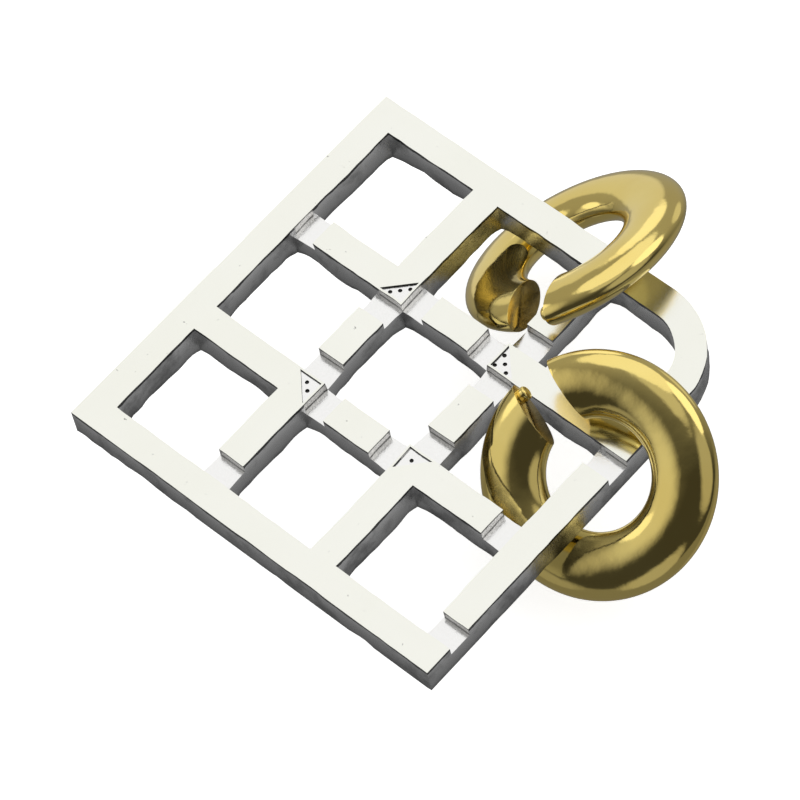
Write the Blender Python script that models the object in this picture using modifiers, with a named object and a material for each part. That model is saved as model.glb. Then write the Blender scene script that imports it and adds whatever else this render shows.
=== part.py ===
"""Ring disentanglement puzzle: a flat 3 x 3 grid casting with two split rings threaded on its rails.

The world origin is the middle of the underside of crossing (1, 1), one bar in from the sharp corner
that the crossings are counted from. +X and +Y run along the bars and +Z is the marked top of the grid.
"""
import math

import bmesh
import bpy
from mathutils import Matrix, Vector

MM = 0.001

# The grid
CELL = 12.0 * MM            # clear width of one opening
BAR = 3.4 * MM              # width of every bar and rail
THICKNESS = 3.8 * MM
CELLS = 3
PITCH = CELL + BAR
SIDE = CELLS * CELL + (CELLS + 1) * BAR
FIRST_EDGE = -(PITCH + BAR / 2)          # outer edge of the rails at crossing 0, along X and along Y
CORNER_RADIUS = 9.0 * MM                 # the one rounded corner, at crossing (3, 3)
CORNER_STEPS = 14
EDGE_ROUND = 0.22 * MM

# Steps cut into the top of the bars. Each one starts at a crossing (column, row) and runs along the bar
# that leaves it in the direction (dx, dy).
STEP_DEPTH = 1.2 * MM
STEP_LENGTH = 2.85 * MM
STEPS = (
    (1, 1, 1, 0), (1, 1, 0, 1), (2, 1, -1, 0), (2, 1, 0, 1),
    (1, 2, 1, 0), (1, 2, 0, -1), (2, 2, -1, 0), (2, 2, 0, -1),
    (1, 0, 0, 1), (0, 2, 1, 0), (3, 1, -1, 0), (2, 2, 0, 1),
    (3, 0, 0, 1), (3, 2, 0, -1),
)

# Index marks on the four inner crossings: a shallow triangular pocket whose right angle points at the
# middle opening, with one to four small pits in its floor, in a row beside the long side
MARK_DEPTH = 0.25 * MM
MARK_INSET = 0.23 * MM
PIT_DEPTH = 0.2 * MM        # below the pocket's floor
PIT_RADIUS = 0.24 * MM
PIT_SPACING = 1.06 * MM
PIT_MARGIN = 0.58 * MM      # from the long side to the middle of the row
ROW_LIMIT = 3               # a fourth pit goes above the middle of the row
MARKS = {(2, 1): 1, (1, 1): 2, (1, 2): 3, (2, 2): 4}

# The rings, which are alike: an oval section swept round a circle and cut by a slot with parallel sides
RING_RADIUS = 9.35 * MM     # to the middle of the section
SECTION_WIDTH = 7.1 * MM    # across the ring's face
SECTION_HEIGHT = 4.0 * MM   # along the ring's axis
SLOT_WIDTH = 4.6 * MM
RING_SEGMENTS = 96
SECTION_SEGMENTS = 32

# The stud pressed into one slot face of each ring
STUD_RADIUS = 0.8 * MM
STUD_OUT = 0.95 * MM        # how far it stands into the slot
STUD_SEAT = 1.2 * MM        # how deep it sits in the ring
STUD_OFFSET = 2.2 * MM      # outwards from the middle of the section
STUD_ROUND = 0.3 * MM
SEAT_PLAY = 0.2 * MM

# Where each ring lies: centre, heading of its lean about Z, lean from flat, and the slot's turn about the
# ring's own axis
RINGS = {
    "ring_a": {"centre": (30.7, 11.3, 2.3), "heading": 12.1, "lean": 36.8, "turn": 146.0},
    "ring_b": {"centre": (11.1, 30.6, 2.2), "heading": -97.8, "lean": 35.7, "turn": 31.0},
}


def clear_scene():
    for existing in list(bpy.data.objects):
        bpy.data.objects.remove(existing)


def new_collection(name):
    collection = bpy.data.collections.new(name)
    bpy.context.scene.collection.children.link(collection)
    return collection


def new_material(name, colour, metallic, roughness):
    material = bpy.data.materials.new(name)
    material.use_nodes = True
    shader = material.node_tree.nodes["Principled BSDF"]
    shader.inputs["Base Color"].default_value = (*colour, 1.0)
    shader.inputs["Metallic"].default_value = metallic
    shader.inputs["Roughness"].default_value = roughness
    return material


def object_from_bmesh(name, mesh_data, collection):
    mesh = bpy.data.meshes.new(name)
    mesh_data.to_mesh(mesh)
    mesh_data.free()
    result = bpy.data.objects.new(name, mesh)
    collection.objects.link(result)
    return result


def mark_as_cutter(cutter):
    cutter.hide_render = True
    cutter.display_type = "WIRE"
    return cutter


def add_boolean(target, cutters, name):
    modifier = target.modifiers.new(name, "BOOLEAN")
    modifier.operation = "DIFFERENCE"
    modifier.operand_type = "COLLECTION"
    modifier.collection = cutters
    modifier.solver = "EXACT"
    return modifier


def add_poly_spline(curve, points):
    spline = curve.splines.new("POLY")
    spline.points.add(len(points) - 1)
    for point, (x, y) in zip(spline.points, points):
        point.co = (x, y, 0.0, 1.0)
    spline.use_cyclic_u = True


def mesh_from_outlines(name, outlines, thickness, middle_z, collection):
    """A flat solid from closed outlines, the first one outside and the others holes in it."""
    curve = bpy.data.curves.new(name + "_outline", "CURVE")
    curve.dimensions = "2D"
    curve.fill_mode = "BOTH"
    curve.extrude = thickness / 2
    for outline in outlines:
        add_poly_spline(curve, outline)
    drawn = bpy.data.objects.new(name + "_outline", curve)
    collection.objects.link(drawn)
    drawn.location.z = middle_z
    bpy.context.view_layer.update()
    mesh = bpy.data.meshes.new_from_object(drawn.evaluated_get(bpy.context.evaluated_depsgraph_get()))
    welded = bmesh.new()
    welded.from_mesh(mesh)
    bmesh.ops.remove_doubles(welded, verts=welded.verts, dist=0.00001)
    bmesh.ops.dissolve_limit(welded, angle_limit=math.radians(1.0), verts=welded.verts, edges=welded.edges)
    welded.to_mesh(mesh)
    welded.free()
    solid = bpy.data.objects.new(name, mesh)
    solid.matrix_world = drawn.matrix_world.copy()
    collection.objects.link(solid)
    bpy.data.objects.remove(drawn)
    return solid


def edge_of(index):
    """The near edge of rail or bar number index, along either axis."""
    return FIRST_EDGE + index * PITCH


def square_outline(x0, y0, x1, y1, radius=0.0):
    """A rectangle whose far corner may be rounded."""
    points = [(x0, y0), (x1, y0)]
    if radius:
        for step in range(CORNER_STEPS + 1):
            angle = math.pi / 2 * step / CORNER_STEPS
            points.append((x1 - radius + radius * math.cos(angle), y1 - radius + radius * math.sin(angle)))
    else:
        points.append((x1, y1))
    points.append((x0, y1))
    return points


def grid_outlines():
    near, far = edge_of(0), edge_of(0) + SIDE
    outlines = [square_outline(near, near, far, far, CORNER_RADIUS)]
    for column in range(CELLS):
        for row in range(CELLS):
            x, y = edge_of(column) + BAR, edge_of(row) + BAR
            last = column == CELLS - 1 and row == CELLS - 1
            radius = CORNER_RADIUS - BAR if last else 0.0
            outlines.append(square_outline(x, y, x + CELL, y + CELL, radius))
    return outlines


def add_step_cutter(column, row, dx, dy, collection):
    """A box that lowers the top of a bar beside its crossing."""
    spill = 0.3 * MM
    middle = Vector((edge_of(column) + BAR / 2, edge_of(row) + BAR / 2, THICKNESS))
    along = Vector((dx, dy, 0.0))
    shape = bmesh.new()
    bmesh.ops.create_cube(shape, size=1.0)
    width = BAR + 2 * spill
    size = (STEP_LENGTH if dx else width, STEP_LENGTH if dy else width, 2 * STEP_DEPTH)
    bmesh.ops.scale(shape, vec=size, verts=shape.verts)
    bmesh.ops.translate(shape, vec=middle + along * (BAR + STEP_LENGTH) / 2, verts=shape.verts)
    return mark_as_cutter(object_from_bmesh(f"step_cutter_{column}_{row}_{dx}_{dy}", shape, collection))


def mark_triangle(column, row, inset):
    """The three corners of a crossing's mark, the right angle first."""
    half = BAR / 2 - inset
    middle_x, middle_y = edge_of(column) + BAR / 2, edge_of(row) + BAR / 2
    to_x = 1 if column == 1 else -1
    to_y = 1 if row == 1 else -1
    corner = Vector((middle_x + to_x * half, middle_y + to_y * half))
    reach = 2 * half
    return corner, corner - Vector((to_x * reach, 0.0)), corner - Vector((0.0, to_y * reach))


def add_mark_cutters(column, row, pits, collection):
    corners = mark_triangle(column, row, MARK_INSET)
    mark_as_cutter(mesh_from_outlines(f"mark_cutter_{column}_{row}", [corners], 2 * MARK_DEPTH, THICKNESS,
                                      collection))
    long_middle = (corners[1] + corners[2]) / 2
    along = (corners[2] - corners[1]).normalized()
    inward = (corners[0] - long_middle).normalized()
    in_row = min(pits, ROW_LIMIT)
    places = [(place - (in_row - 1) / 2, 0) for place in range(in_row)]
    if pits > in_row:
        places.append((0, 1))
    for number, (across, up) in enumerate(places):
        spot = long_middle + along * across * PIT_SPACING + inward * (PIT_MARGIN + up * PIT_SPACING)
        shape = bmesh.new()
        bmesh.ops.create_cone(shape, cap_ends=True, segments=12, radius1=PIT_RADIUS, radius2=PIT_RADIUS,
                              depth=2 * (MARK_DEPTH + PIT_DEPTH))
        bmesh.ops.translate(shape, vec=(spot.x, spot.y, THICKNESS), verts=shape.verts)
        mark_as_cutter(object_from_bmesh(f"pit_cutter_{column}_{row}_{number}", shape, collection))


def build_grid(parts, cutters, metal):
    step_cutters = bpy.data.collections.new("grid_step_cutters")
    mark_cutters = bpy.data.collections.new("grid_mark_cutters")
    cutters.children.link(step_cutters)
    cutters.children.link(mark_cutters)
    grid = mesh_from_outlines("grid_frame", grid_outlines(), THICKNESS, THICKNESS / 2, parts)
    for step in STEPS:
        add_step_cutter(*step, step_cutters)
    for (column, row), pits in MARKS.items():
        add_mark_cutters(column, row, pits, mark_cutters)
    rounding = grid.modifiers.new("Edges", "BEVEL")
    rounding.width = EDGE_ROUND
    rounding.segments = 2
    rounding.limit_method = "ANGLE"
    rounding.angle_limit = math.radians(50)
    add_boolean(grid, step_cutters, "Steps")
    add_boolean(grid, mark_cutters, "Marks")
    grid.data.materials.append(metal)
    return grid


def stud_place():
    """The middle of the stud's slot face in the ring's own frame: the ring's axis is Z, the slot faces +X."""
    radius = RING_RADIUS + STUD_OFFSET
    return Vector((math.sqrt(radius ** 2 - (SLOT_WIDTH / 2) ** 2), SLOT_WIDTH / 2, 0.0))


def ring_matrix(place):
    centre = Matrix.Translation(Vector(place["centre"]) * MM)
    heading = Matrix.Rotation(math.radians(place["heading"]), 4, "Z")
    lean = Matrix.Rotation(math.radians(place["lean"]), 4, "X")
    turn = Matrix.Rotation(math.radians(place["turn"]), 4, "Z")
    return centre @ heading @ lean @ turn


def add_ring_cutters(name, matrix, collection):
    slot = bmesh.new()
    bmesh.ops.create_cube(slot, size=1.0)
    reach = RING_RADIUS + SECTION_WIDTH
    bmesh.ops.scale(slot, vec=(reach, SLOT_WIDTH, 2 * SECTION_HEIGHT), verts=slot.verts)
    bmesh.ops.translate(slot, vec=(reach / 2, 0.0, 0.0), verts=slot.verts)
    mark_as_cutter(object_from_bmesh(name + "_slot_cutter", slot, collection)).matrix_world = matrix
    seat = bmesh.new()
    depth = STUD_SEAT + SEAT_PLAY
    bmesh.ops.create_cone(seat, cap_ends=True, segments=24, radius1=STUD_RADIUS + SEAT_PLAY,
                          radius2=STUD_RADIUS + SEAT_PLAY, depth=2 * depth)
    bmesh.ops.rotate(seat, matrix=Matrix.Rotation(math.pi / 2, 3, "X"), verts=seat.verts)
    bmesh.ops.translate(seat, vec=stud_place(), verts=seat.verts)
    mark_as_cutter(object_from_bmesh(name + "_seat_cutter", seat, collection)).matrix_world = matrix


def build_ring(name, place, parts, cutters, metal):
    own_cutters = bpy.data.collections.new(name + "_cutters")
    cutters.children.link(own_cutters)
    matrix = ring_matrix(place)
    bpy.ops.mesh.primitive_torus_add(major_radius=RING_RADIUS, minor_radius=SECTION_WIDTH / 2,
                                     major_segments=RING_SEGMENTS, minor_segments=SECTION_SEGMENTS)
    ring = bpy.context.active_object
    ring.name = name
    ring.data.name = name
    ring.data.transform(Matrix.Diagonal((1.0, 1.0, SECTION_HEIGHT / SECTION_WIDTH, 1.0)))
    ring.data.shade_smooth()
    for holder in list(ring.users_collection):
        holder.objects.unlink(ring)
    parts.objects.link(ring)
    ring.matrix_world = matrix
    add_ring_cutters(name, matrix, own_cutters)
    add_boolean(ring, own_cutters, "Slot")
    ring.data.materials.append(metal)
    return ring


def build_stud(name, place, parts, metal):
    length = STUD_OUT + STUD_SEAT
    shape = bmesh.new()
    bmesh.ops.create_cone(shape, cap_ends=True, segments=24, radius1=STUD_RADIUS, radius2=STUD_RADIUS,
                          depth=length)
    bmesh.ops.rotate(shape, matrix=Matrix.Rotation(math.pi / 2, 3, "X"), verts=shape.verts)
    tip_edges = [edge for edge in shape.edges if all(vertex.co.y < 0 for vertex in edge.verts)]
    bmesh.ops.bevel(shape, geom=tip_edges, offset=STUD_ROUND, segments=3, profile=0.5, affect="EDGES")
    bmesh.ops.translate(shape, vec=stud_place() + Vector((0.0, STUD_SEAT - length / 2, 0.0)), verts=shape.verts)
    stud = object_from_bmesh(name, shape, parts)
    stud.data.shade_smooth()
    stud.matrix_world = ring_matrix(place)
    stud.data.materials.append(metal)
    return stud


def main():
    clear_scene()
    parts = new_collection("ring_puzzle")
    cutters = new_collection("cutters")
    nickel = new_material("bright_nickel", (0.80, 0.79, 0.76), 1.0, 0.16)
    gold = new_material("gold_plate", (0.83, 0.62, 0.22), 1.0, 0.12)
    build_grid(parts, cutters, nickel)
    for name, place in RINGS.items():
        build_ring(name, place, parts, cutters, gold)
        build_stud(name + "_stud", place, parts, gold)


main()
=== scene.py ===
"""Ring disentanglement puzzle: finished surfaces for the grid casting, the split rings and their studs."""
import math

import bmesh
import bpy
from mathutils import Matrix, Vector, noise


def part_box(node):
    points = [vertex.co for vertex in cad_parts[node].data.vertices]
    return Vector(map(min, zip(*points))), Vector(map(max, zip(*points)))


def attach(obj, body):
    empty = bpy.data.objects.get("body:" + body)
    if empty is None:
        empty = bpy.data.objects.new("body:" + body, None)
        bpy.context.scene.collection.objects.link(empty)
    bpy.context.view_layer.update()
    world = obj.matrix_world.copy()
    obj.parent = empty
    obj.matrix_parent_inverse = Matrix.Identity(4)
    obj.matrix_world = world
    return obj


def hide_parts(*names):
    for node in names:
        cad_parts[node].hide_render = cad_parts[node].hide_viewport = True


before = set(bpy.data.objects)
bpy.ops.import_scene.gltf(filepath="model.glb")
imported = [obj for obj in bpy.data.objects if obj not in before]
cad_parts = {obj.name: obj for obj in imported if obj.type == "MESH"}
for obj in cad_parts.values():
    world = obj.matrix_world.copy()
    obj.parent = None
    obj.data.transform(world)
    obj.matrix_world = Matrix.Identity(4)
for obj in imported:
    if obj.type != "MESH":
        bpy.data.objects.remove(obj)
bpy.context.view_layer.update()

MM = 0.001

# Camera: where it looks from, as angles about the point that it looks at
CAMERA_TARGET = Vector((9.3, 5.0, 3.8)) * MM
CAMERA_AZIMUTH = 52.6
CAMERA_ELEVATION = 58.4
CAMERA_ROLL = -12.95
CAMERA_DISTANCE = 509.0 * MM
CAMERA_LENS = 222.3
SENSOR_WIDTH = 36.0

# Casting
THICKNESS = 3.8 * MM
CELLS = 3
CELL = 12.0 * MM
BAR = 3.4 * MM
PITCH = CELL + BAR
FIRST_WALL = BAR / 2 - PITCH    # where the first opening starts, along X and along Y
NOOK_REACH = 2.0 * MM
NOOK_FILL = 0.45 * MM
STEP_DEPTH = 1.2 * MM
MARK_DEPTH = 0.25 * MM
PIT_DEPTH = 0.2 * MM
SHARP_FROM = 40.0           # degrees between two faces
SLIVER = 0.02 * MM
WELD = 0.002 * MM
NET_SIZE = 0.7 * MM
WAVER_SLOW = 190.0          # how many wavers there are to a metre, slow and quick
WAVER_SLOW_DEPTH = 0.17 * MM
WAVER_QUICK = 700.0
WAVER_QUICK_DEPTH = 0.08 * MM
WAVER_SEED = 1

# Rings, as the CAD has them
RING_RADIUS = 9.35 * MM
SECTION_WIDTH = 7.1 * MM
SECTION_HEIGHT = 4.0 * MM
SLOT_WIDTH = 4.6 * MM
SLOT_EDGE = 0.3 * MM
SORT_LINE = Vector((1.0, 7.3, 53.9))
RING_STEPS = 224
SECTION_STEPS = 64
STUD_RADIUS = 0.8 * MM
STUD_OUT = 0.95 * MM
STUD_SEAT = 0.9 * MM
STUD_OFFSET = 2.2 * MM
RINGS = {
    "ring_a": {"centre": (30.7, 11.3, 2.3), "heading": 12.1, "lean": 36.8, "turn": 146.0},
    "ring_b": {"centre": (11.1, 30.6, 2.2), "heading": -97.8, "lean": 35.7, "turn": 31.0},
}

FLOOR_LEVEL = -11.0 * MM
GROUND_GLOW = 0.72          # the ground is lit from below, as a light table is
BACKDROP_RADIUS = 3.0

# The studio: a room that is dim on the camera's side, and soft panels given as azimuth, elevation,
# radius of the full part, radius of the faded edge, and brightness
BACK = CAMERA_AZIMUTH + 180.0
ROOM_ABOVE = 0.05
ROOM_BELOW = 0.20
PANELS = (
    (BACK, 20.0, 35.0, 125.0, 0.36),
    (BACK, 60.0, 25.0, 31.0, 0.98),
    (BACK, 15.0, 11.0, 16.0, 1.1),
    (248.0, -6.0, 18.0, 28.0, 0.68),
    (156.0, 50.0, 18.0, 23.0, 1.25),
    (298.0, 28.0, 10.0, 16.0, 1.15),
    (318.0, 24.0, 13.0, 40.0, 0.66),
    (184.0, 6.0, 10.0, 20.0, 0.65),
    (130.0, -42.0, 22.0, 48.0, 0.27),
    (98.0, 40.0, 20.0, 34.0, 0.42),
    (0.0, 88.0, 12.0, 22.0, 0.55),
    (38.0, 2.0, 14.0, 24.0, 0.40),
    (350.0, -9.0, 10.0, 20.0, 0.30),
)


# ---------------------------------------------------------------- materials

class Finish:
    """A node material: a Principled shader and small helpers that add nodes to it."""

    def __init__(self, name):
        self.material = bpy.data.materials.new(name)
        self.material.use_nodes = True
        self.nodes = self.material.node_tree.nodes
        self.links = self.material.node_tree.links
        self.shader = self.nodes["Principled BSDF"]
        self.place = self.nodes.new("ShaderNodeTexCoord").outputs["Object"]

    def set(self, **values):
        for name, value in values.items():
            self.shader.inputs[name.replace("_", " ")].default_value = value

    def noise(self, scale, detail=4.0, roughness=0.55):
        node = self.nodes.new("ShaderNodeTexNoise")
        node.inputs["Scale"].default_value = scale
        node.inputs["Detail"].default_value = detail
        node.inputs["Roughness"].default_value = roughness
        self.links.new(self.place, node.inputs["Vector"])
        return node.outputs["Fac"]

    def ramp(self, value, stops):
        node = self.nodes.new("ShaderNodeValToRGB")
        self.links.new(value, node.inputs["Fac"])
        elements = node.color_ramp.elements
        while len(elements) < len(stops):
            elements.new(0.5)
        for element, (position, colour) in zip(elements, stops):
            element.position = position
            element.color = (*colour, 1.0) if isinstance(colour, tuple) else (colour, colour, colour, 1.0)
        return node.outputs["Color"]

    def add_up(self, first, second, weight):
        node = self.nodes.new("ShaderNodeMath")
        node.operation = "MULTIPLY_ADD"
        self.links.new(second, node.inputs[0])
        node.inputs[1].default_value = weight
        self.links.new(first, node.inputs[2])
        return node.outputs["Value"]

    def product(self, first, second):
        node = self.nodes.new("ShaderNodeVectorMath")
        node.operation = "MULTIPLY"
        self.links.new(first, node.inputs[0])
        self.links.new(second, node.inputs[1])
        return node.outputs["Vector"]

    def bump(self, height, distance, strength=1.0):
        node = self.nodes.new("ShaderNodeBump")
        node.inputs["Strength"].default_value = strength
        node.inputs["Distance"].default_value = distance
        self.links.new(height, node.inputs["Height"])
        self.links.new(node.outputs["Normal"], self.shader.inputs["Normal"])

    def feed(self, value, socket):
        self.links.new(value, self.shader.inputs[socket])


def polished_nickel():
    """The ground and polished top: nearly a mirror, with faint waves and hairline haze."""
    finish = Finish("polished_nickel")
    finish.set(Metallic=1.0)
    cloud = finish.noise(90.0, 5.0)
    tint = finish.ramp(cloud, [(0.3, (0.91, 0.91, 0.83)), (0.7, (0.95, 0.95, 0.88))])
    speck = finish.ramp(finish.noise(1500.0, 2.0), [(0.73, 1.0), (0.80, 0.35)])
    finish.feed(finish.product(tint, speck), "Base Color")
    fine = finish.noise(2600.0, 3.0)
    finish.feed(finish.ramp(finish.add_up(cloud, fine, 0.35), [(0.35, 0.10), (0.95, 0.24)]), "Roughness")
    finish.bump(finish.add_up(finish.noise(160.0, 2.0), fine, 0.03), 0.00006, 0.5)
    return finish.material


def height_on(finish, low, high):
    """How far up the casting a point is, from 0 at low to 1 at high."""
    split = finish.nodes.new("ShaderNodeSeparateXYZ")
    finish.links.new(finish.place, split.inputs["Vector"])
    node = finish.nodes.new("ShaderNodeMapRange")
    node.inputs["From Min"].default_value = low
    node.inputs["From Max"].default_value = high
    finish.links.new(split.outputs["Z"], node.inputs["Value"])
    return node.outputs["Result"]


def cast_wall():
    """The walls of the casting, plated but not polished, with light painted by height: painted shade
    darkening towards the bottom, a painted highlight just below the top edge and a painted dark shade line
    along that edge, and dark smudges.
    """
    finish = Finish("cast_wall")
    finish.set(Metallic=1.0)
    height = height_on(finish, 0.0, THICKNESS)
    cloud = finish.noise(420.0, 6.0)
    uneven = finish.add_up(height, finish.noise(330.0, 5.0, 0.65), 0.22)
    # light painted by height: painted shade at the foot, a painted highlight near the top and a painted
    # shade line along the top edge
    painted_light_bands = finish.ramp(uneven, [(0.08, 0.20), (0.30, 0.46), (0.70, 0.66), (0.97, 0.90), (0.995, 0.86),
                                  (1.0, 0.10)])
    smudge = finish.ramp(finish.noise(240.0, 6.0, 0.6), [(0.35, 0.52), (0.51, 1.0)])
    finish.feed(finish.product(painted_light_bands, smudge), "Base Color")
    grain = finish.noise(5200.0, 3.0)
    finish.feed(finish.ramp(grain, [(0.3, 0.20), (0.7, 0.38)]), "Roughness")
    finish.bump(finish.add_up(cloud, grain, 0.3), 0.00014, 0.55)
    return finish.material


def step_riser():
    """The short upright faces of the steps, with light painted by height: a painted reflection bright
    across the middle, painted shade dark along the top and the foot.
    """
    finish = Finish("step_riser")
    finish.set(Metallic=1.0)
    height = height_on(finish, THICKNESS - STEP_DEPTH, THICKNESS)
    shaded_height = finish.add_up(height, finish.noise(900.0, 3.0), 0.16)
    # painted shade along the foot and the top edge, painted reflection across the middle
    finish.feed(finish.ramp(shaded_height, [(0.10, (0.05, 0.048, 0.045)), (0.30, (0.80, 0.79, 0.77)),
                                    (0.78, (0.90, 0.89, 0.87)), (0.98, (0.10, 0.098, 0.09))]), "Base Color")
    grain = finish.noise(4200.0, 3.0)
    finish.feed(finish.ramp(grain, [(0.3, 0.22), (0.7, 0.40)]), "Roughness")
    finish.bump(grain, 0.00006, 0.5)
    return finish.material


def step_floor():
    """The bottoms of the steps: bright but grainy, as cast."""
    finish = Finish("step_floor")
    finish.set(Metallic=1.0)
    grain = finish.noise(3400.0, 5.0, 0.7)
    finish.feed(finish.ramp(grain, [(0.3, (0.90, 0.895, 0.875)), (0.7, (0.97, 0.965, 0.95))]), "Base Color")
    finish.feed(finish.ramp(grain, [(0.3, 0.12), (0.7, 0.26)]), "Roughness")
    finish.bump(grain, 0.00003, 0.4)
    return finish.material


def mark_groove():
    """The engraved marks, painted near black as the shade in their walls and pits."""
    finish = Finish("mark_groove")
    finish.set(Metallic=0.6)
    groove_mottle = finish.noise(3000.0, 3.0)
    # near-black painted shade of the grooves, mottled a little
    finish.feed(finish.ramp(groove_mottle, [(0.3, (0.03, 0.03, 0.03)), (0.7, (0.10, 0.098, 0.095))]), "Base Color")
    finish.feed(finish.ramp(groove_mottle, [(0.3, 0.45), (0.7, 0.7)]), "Roughness")
    finish.bump(groove_mottle, 0.00004, 0.5)
    return finish.material


def gold_plate():
    """Polished gold-coloured plating over a hand-finished ring."""
    finish = Finish("gold_plate_polished")
    finish.set(Metallic=1.0)
    cloud = finish.noise(110.0, 4.0)
    finish.feed(finish.ramp(cloud, [(0.3, (0.92, 0.71, 0.22)), (0.7, (0.97, 0.78, 0.27))]), "Base Color")
    fine = finish.noise(2400.0, 4.0)
    finish.feed(finish.ramp(finish.add_up(cloud, fine, 0.5), [(0.4, 0.045), (1.0, 0.14)]), "Roughness")
    peel = finish.add_up(finish.noise(230.0, 2.0), finish.noise(850.0, 2.0), 0.10)
    finish.bump(finish.add_up(peel, fine, 0.05), 0.00012, 0.6)
    return finish.material


def gold_cut():
    """The slot faces of the rings: the same plating over a sawn and tumbled surface."""
    finish = Finish("gold_plate_cut")
    finish.set(Metallic=1.0)
    grain = finish.noise(2600.0, 5.0, 0.7)
    finish.feed(finish.ramp(grain, [(0.3, (0.80, 0.60, 0.22)), (0.7, (0.90, 0.72, 0.30))]), "Base Color")
    finish.feed(finish.ramp(grain, [(0.3, 0.10), (0.7, 0.22)]), "Roughness")
    finish.bump(grain, 0.00002, 0.4)
    return finish.material


def pale_ground():
    finish = Finish("pale_ground")
    finish.set(Roughness=0.9)
    paper = finish.noise(500.0, 4.0)
    finish.feed(finish.ramp(paper, [(0.3, (0.93, 0.93, 0.93)), (0.7, (0.96, 0.96, 0.96))]), "Base Color")
    finish.set(Emission_Color=(1.0, 1.0, 1.0, 1.0), Emission_Strength=GROUND_GLOW)
    finish.material.cycles.emission_sampling = "NONE"
    return finish.material


# ---------------------------------------------------------------- pieces

def piece_from(name, shape, materials):
    mesh = bpy.data.meshes.new(name)
    shape.to_mesh(mesh)
    shape.free()
    for material in materials:
        mesh.materials.append(material)
    piece = bpy.data.objects.new(name, mesh)
    bpy.context.scene.collection.objects.link(piece)
    return piece


def sharp_edges(shape, lowest):
    limit = math.radians(lowest)
    return [edge for edge in shape.edges if len(edge.link_faces) == 2 and edge.calc_face_angle(0.0) > limit]


def cut_across(shape, place, direction):
    bmesh.ops.bisect_plane(shape, geom=shape.verts[:] + shape.edges[:] + shape.faces[:], dist=SLIVER,
                           plane_co=place, plane_no=direction, clear_inner=False, clear_outer=False)


def cast_waver(shape, low, high):
    """Cut the casting into a fine net and let its outlines waver a little, as a casting's do."""
    noise.seed_set(WAVER_SEED)
    for axis in (Vector((1, 0, 0)), Vector((0, 1, 0))):
        start, end = low.dot(axis), high.dot(axis)
        cuts = int((end - start) / NET_SIZE)
        for cut in range(1, cuts):
            place = start + (end - start) * cut / cuts + 0.013 * MM
            cut_across(shape, axis * place, axis)
    for share in (0.2, 0.45):
        cut_across(shape, Vector((0.0, 0.0, THICKNESS * share)), Vector((0, 0, 1)))
    for vertex in shape.verts:
        here = vertex.co.copy()
        depth = 1.0 - here.z / THICKNESS
        slow = noise.noise_vector(here * WAVER_SLOW) * WAVER_SLOW_DEPTH
        quick = noise.noise_vector(here * WAVER_QUICK + Vector((7.0, 3.0, 5.0))) * WAVER_QUICK_DEPTH
        shift = (slow + quick) * (0.7 + 0.9 * depth) + nook_fill(here) * depth
        vertex.co.x = min(max(here.x + shift.x, low.x), high.x)
        vertex.co.y = min(max(here.y + shift.y, low.y), high.y)


def nook_fill(point):
    """How far the metal has crept into a corner of an opening at this point of its wall."""
    reach = Vector((0.0, 0.0, 0.0))
    for column in range(CELLS):
        for row in range(CELLS):
            sides_x = FIRST_WALL + column * PITCH, FIRST_WALL + column * PITCH + CELL
            sides_y = FIRST_WALL + row * PITCH, FIRST_WALL + row * PITCH + CELL
            centre = Vector((sum(sides_x) / 2, sum(sides_y) / 2, 0.0))
            off = max(abs(point.x - centre.x), abs(point.y - centre.y)) - CELL / 2
            near = min(abs(point.x - centre.x), abs(point.y - centre.y))
            share = 1.0 - (CELL / 2 - near) / NOOK_REACH
            if abs(off) < 0.02 * MM and share > 0.0:
                inwards = Vector((centre.x - point.x, centre.y - point.y, 0.0)).normalized()
                reach += inwards * NOOK_FILL * share ** 1.5
    return reach


def finished_casting(materials):
    """The grid with wavering outlines and eased corners, split into its finishes."""
    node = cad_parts["grid_frame"]
    low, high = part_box("grid_frame")
    shape = bmesh.new()
    shape.from_mesh(node.data)
    bmesh.ops.remove_doubles(shape, verts=shape.verts, dist=0.000002)
    bmesh.ops.dissolve_limit(shape, angle_limit=math.radians(1.0), verts=shape.verts, edges=shape.edges)
    for edge in sharp_edges(shape, SHARP_FROM):
        edge.smooth = False
    cast_waver(shape, low, high)
    bmesh.ops.remove_doubles(shape, verts=shape.verts, dist=WELD)
    bmesh.ops.dissolve_degenerate(shape, dist=WELD, edges=shape.edges)
    top, wall, riser, floor, pit = range(5)
    step_level = high.z - STEP_DEPTH
    pocket_level = high.z - MARK_DEPTH
    for face in shape.faces:
        middle = face.calc_center_median()
        lowest = min(vertex.co.z for vertex in face.verts)
        flat = abs(face.normal.z) > 0.7
        face.smooth = abs(face.normal.z) < 0.999
        if face.normal.z > 0.98 and middle.z > high.z - 0.02 * MM:
            face.material_index = top
        elif flat and middle.z > high.z - 0.1 * MM and not in_crossing(middle):
            face.material_index = top
        elif flat and middle.z < low.z + 0.1 * MM:
            face.material_index = top
        elif flat and abs(middle.z - step_level) < 0.12 * MM:
            face.material_index = floor
        elif middle.z > pocket_level - PIT_DEPTH - 0.05 * MM and in_crossing(middle):
            on_pocket_floor = face.normal.z > 0.98 and abs(middle.z - pocket_level) < 0.05 * MM
            # the pocket walls and pits take the marks' near-black painted shade
            face.material_index = floor if on_pocket_floor else pit
        elif lowest > step_level - 0.1 * MM:
            face.material_index = riser
        else:
            face.material_index = wall
    return piece_from("casting", shape, materials)


def in_crossing(point):
    """Whether a point is well inside the square of one of the four inner crossings."""
    inside = 0
    for value in (point.x, point.y):
        for middle in (0.0, PITCH):
            if abs(value - middle) < BAR / 2 - 0.18 * MM:
                inside += 1
    return inside == 2


def ring_matrix(place):
    centre = Matrix.Translation(Vector(place["centre"]) * MM)
    heading = Matrix.Rotation(math.radians(place["heading"]), 4, "Z")
    lean = Matrix.Rotation(math.radians(place["lean"]), 4, "X")
    turn = Matrix.Rotation(math.radians(place["turn"]), 4, "Z")
    return centre @ heading @ lean @ turn


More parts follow.
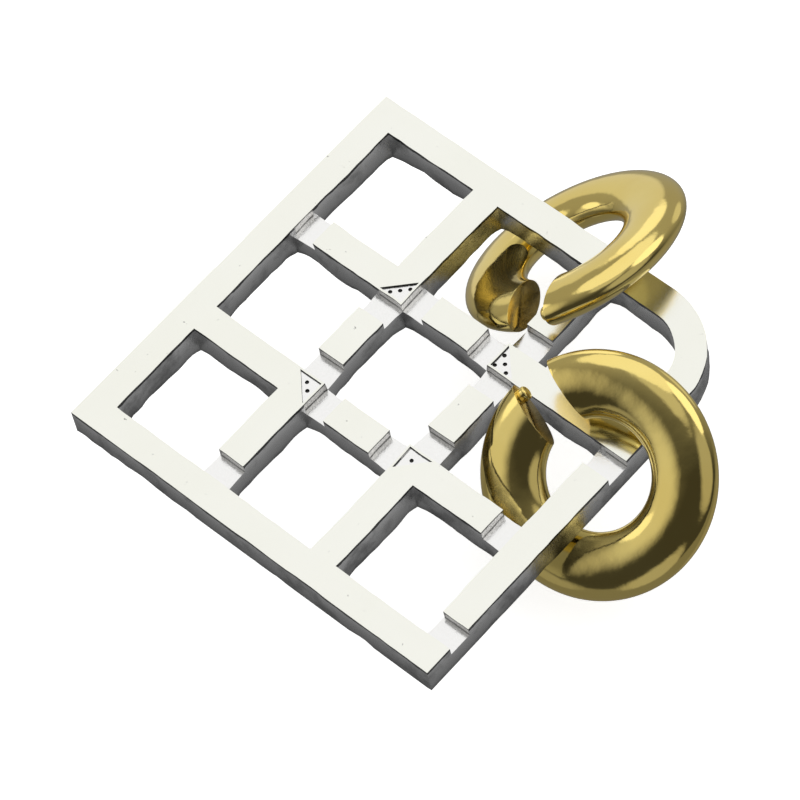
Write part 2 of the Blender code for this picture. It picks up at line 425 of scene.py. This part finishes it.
def finished_ring(name, place, materials):
    """An oval section spun round the ring's axis and trimmed to the two faces of its slot."""
    shape = bmesh.new()
    bmesh.ops.create_circle(shape, cap_ends=False, segments=SECTION_STEPS, radius=1.0)
    bmesh.ops.scale(shape, vec=(SECTION_WIDTH / 2, SECTION_HEIGHT / 2, 1.0), verts=shape.verts)
    bmesh.ops.rotate(shape, matrix=Matrix.Rotation(math.pi / 2, 3, "X"), verts=shape.verts)
    bmesh.ops.translate(shape, vec=(RING_RADIUS, 0.0, 0.0), verts=shape.verts)
    start = math.asin(SLOT_WIDTH / 2 / (RING_RADIUS + SECTION_WIDTH / 2)) * 0.8
    bmesh.ops.rotate(shape, matrix=Matrix.Rotation(start, 3, "Z"), verts=shape.verts)
    bmesh.ops.spin(shape, geom=shape.verts[:] + shape.edges[:], axis=(0, 0, 1), cent=(0, 0, 0),
                   angle=2 * math.pi - 2 * start, steps=RING_STEPS, use_merge=False)
    for side in (1, -1):
        near = [face for face in shape.faces if face.calc_center_median().x > 0]
        geometry = dict.fromkeys(near)
        for face in near:
            geometry.update(dict.fromkeys(face.edges))
            geometry.update(dict.fromkeys(face.verts))
        half = [item for item in geometry if side_of(item) * side > -0.4 * MM]
        bmesh.ops.bisect_plane(shape, geom=half, dist=1e-8, plane_co=(0, side * SLOT_WIDTH / 2, 0),
                               plane_no=(0, side, 0), clear_inner=False, clear_outer=False)
        doomed = [face for face in shape.faces if face.calc_center_median().x > 0
                  and 0 <= face.calc_center_median().y * side < SLOT_WIDTH / 2]
        bmesh.ops.delete(shape, geom=doomed, context="FACES")
    loose = [vertex for vertex in shape.verts if not vertex.link_faces]
    bmesh.ops.delete(shape, geom=loose, context="VERTS")
    sort_by_place(shape)
    bmesh.ops.remove_doubles(shape, verts=shape.verts, dist=SLIVER / 2)
    sort_by_place(shape)
    rims = [edge for edge in shape.edges if edge.is_boundary]
    caps = bmesh.ops.holes_fill(shape, edges=rims, sides=0)["faces"]
    bmesh.ops.recalc_face_normals(shape, faces=shape.faces)
    for face in shape.faces:
        face.smooth = True
        face.material_index = 0
    for face in caps:
        face.material_index = 1
    cap_edges = [edge for face in caps for edge in face.edges]
    bmesh.ops.bevel(shape, geom=cap_edges, offset=SLOT_EDGE, segments=4, profile=0.5, affect="EDGES",
                    material=0, clamp_overlap=True)
    bmesh.ops.remove_doubles(shape, verts=shape.verts, dist=WELD)
    bmesh.ops.dissolve_degenerate(shape, dist=WELD, edges=shape.edges)
    bmesh.ops.transform(shape, matrix=ring_matrix(place), verts=shape.verts)
    piece = piece_from(name + "_polished", shape, materials)
    return piece


def sort_by_place(shape):
    """Put the parts of a shape in an order that is the same each run, as a weld depends on it."""
    for parts in (shape.verts, shape.edges, shape.faces):
        parts.sort(key=place_key)


def place_key(item):
    points = [item.co] if isinstance(item, bmesh.types.BMVert) else [vertex.co for vertex in item.verts]
    return sum(point.dot(SORT_LINE) for point in points) / len(points)


def side_of(item):
    if isinstance(item, bmesh.types.BMVert):
        return item.co.y
    return sum(vertex.co.y for vertex in item.verts) / len(item.verts)


def finished_stud(name, place, materials):
    """A stud with a domed tip, seated in the slot face."""
    radius = RING_RADIUS + STUD_OFFSET
    root = Vector((math.sqrt(radius ** 2 - (SLOT_WIDTH / 2) ** 2), SLOT_WIDTH / 2, 0.0))
    length = STUD_OUT + STUD_SEAT
    shape = bmesh.new()
    bmesh.ops.create_cone(shape, cap_ends=True, segments=48, radius1=STUD_RADIUS, radius2=STUD_RADIUS,
                          depth=length)
    bmesh.ops.rotate(shape, matrix=Matrix.Rotation(math.pi / 2, 3, "X"), verts=shape.verts)
    tip = [edge for edge in shape.edges if all(vertex.co.y < 0 for vertex in edge.verts)]
    bmesh.ops.bevel(shape, geom=tip, offset=STUD_RADIUS * 0.5, segments=6, profile=0.5, affect="EDGES",
                    material=-1)
    bmesh.ops.translate(shape, vec=root + Vector((0.0, STUD_SEAT - length / 2, 0.0)), verts=shape.verts)
    for face in shape.faces:
        face.smooth = len(face.verts) == 4
    bmesh.ops.transform(shape, matrix=ring_matrix(place), verts=shape.verts)
    return piece_from(name + "_polished", shape, materials)


# ---------------------------------------------------------------- stage

def area_light(name, azimuth, elevation, distance, size, power, colour=(1.0, 1.0, 1.0)):
    """A soft panel that faces the grid from the given direction."""
    lamp = bpy.data.lights.new(name, "AREA")
    lamp.shape = "RECTANGLE"
    lamp.size, lamp.size_y = size
    lamp.energy = power
    lamp.color = colour
    panel = bpy.data.objects.new(name, lamp)
    bpy.context.scene.collection.objects.link(panel)
    direction = direction_from(azimuth, elevation)
    panel.location = CAMERA_TARGET + direction * distance
    panel.rotation_euler = direction.to_track_quat("Z", "Y").to_euler()
    return panel


def direction_from(azimuth, elevation):
    """A unit vector from the object: azimuth 0 is the -Y side, 90 the +X side."""
    turn, rise = math.radians(azimuth), math.radians(elevation)
    return Vector((math.sin(turn) * math.cos(rise), -math.cos(turn) * math.cos(rise), math.sin(rise)))


def set_camera():
    lens = bpy.data.cameras.new("camera")
    lens.lens = CAMERA_LENS
    lens.sensor_width = SENSOR_WIDTH
    lens.clip_start = 0.01
    camera = bpy.data.objects.new("camera", lens)
    bpy.context.scene.collection.objects.link(camera)
    back = direction_from(CAMERA_AZIMUTH, CAMERA_ELEVATION)
    camera.location = CAMERA_TARGET + back * CAMERA_DISTANCE
    level = back.to_track_quat("Z", "Y")
    roll = Matrix.Rotation(math.radians(CAMERA_ROLL), 3, "Z")
    camera.rotation_euler = (level.to_matrix() @ roll).to_euler()
    bpy.context.scene.camera = camera


def set_world():
    """A studio drawn as soft panels round a dim room."""
    world = bpy.data.worlds.new("studio")
    bpy.context.scene.world = world
    world.use_nodes = True
    nodes, links = world.node_tree.nodes, world.node_tree.links
    direction = nodes.new("ShaderNodeTexCoord").outputs["Generated"]
    split = nodes.new("ShaderNodeSeparateXYZ")
    links.new(direction, split.inputs["Vector"])
    room = nodes.new("ShaderNodeMapRange")
    room.inputs["From Min"].default_value = 0.02
    room.inputs["From Max"].default_value = -0.06
    room.inputs["To Min"].default_value = ROOM_ABOVE
    room.inputs["To Max"].default_value = ROOM_BELOW
    links.new(split.outputs["Z"], room.inputs["Value"])
    brightness = room.outputs["Result"]
    for azimuth, elevation, inner, outer, radiance in PANELS:
        facing = nodes.new("ShaderNodeVectorMath")
        facing.operation = "DOT_PRODUCT"
        facing.inputs[1].default_value = direction_from(azimuth, elevation)
        links.new(direction, facing.inputs[0])
        fade = nodes.new("ShaderNodeMapRange")
        fade.interpolation_type = "SMOOTHSTEP"
        fade.inputs["From Min"].default_value = math.cos(math.radians(outer))
        fade.inputs["From Max"].default_value = math.cos(math.radians(inner))
        fade.inputs["To Max"].default_value = radiance
        links.new(facing.outputs["Value"], fade.inputs["Value"])
        brighter = nodes.new("ShaderNodeMath")
        brighter.operation = "MAXIMUM"
        links.new(brightness, brighter.inputs[0])
        links.new(fade.outputs["Result"], brighter.inputs[1])
        brightness = brighter.outputs["Value"]
    links.new(brightness, nodes["Background"].inputs["Color"])


def set_floor():
    """A pale ground inside a pale round backdrop, neither of which shows in the metal."""
    ground = bmesh.new()
    bmesh.ops.create_grid(ground, x_segments=1, y_segments=1, size=BACKDROP_RADIUS)
    bmesh.ops.translate(ground, vec=(0.0, 0.0, FLOOR_LEVEL), verts=ground.verts)
    dome = bmesh.new()
    bmesh.ops.create_uvsphere(dome, u_segments=64, v_segments=32, radius=BACKDROP_RADIUS)
    bmesh.ops.reverse_faces(dome, faces=dome.faces)
    pale = pale_ground()
    for name, shape in (("floor", ground), ("backdrop", dome)):
        stage = piece_from(name, shape, [pale])
        stage.visible_glossy = False
        stage.visible_diffuse = False


def main():
    set_camera()
    set_world()
    set_floor()
    ceiling = area_light("ceiling_panel", 0.0, 90.0, 1.2, (2.4, 2.4), 7.0)
    ceiling.visible_glossy = False
    bpy.context.scene.view_settings.view_transform = "Standard"

    casting = finished_casting([polished_nickel(), cast_wall(), step_riser(), step_floor(), mark_groove()])
    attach(casting, "frame")
    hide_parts("grid_frame")
    gold = [gold_plate(), gold_cut()]
    for name, place in RINGS.items():
        ring = finished_ring(name, place, gold)
        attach(ring, name + "_body")
        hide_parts(name)
        stud = finished_stud(name + "_stud", place, gold)
        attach(stud, name + "_body")
        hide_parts(name + "_stud")


main()
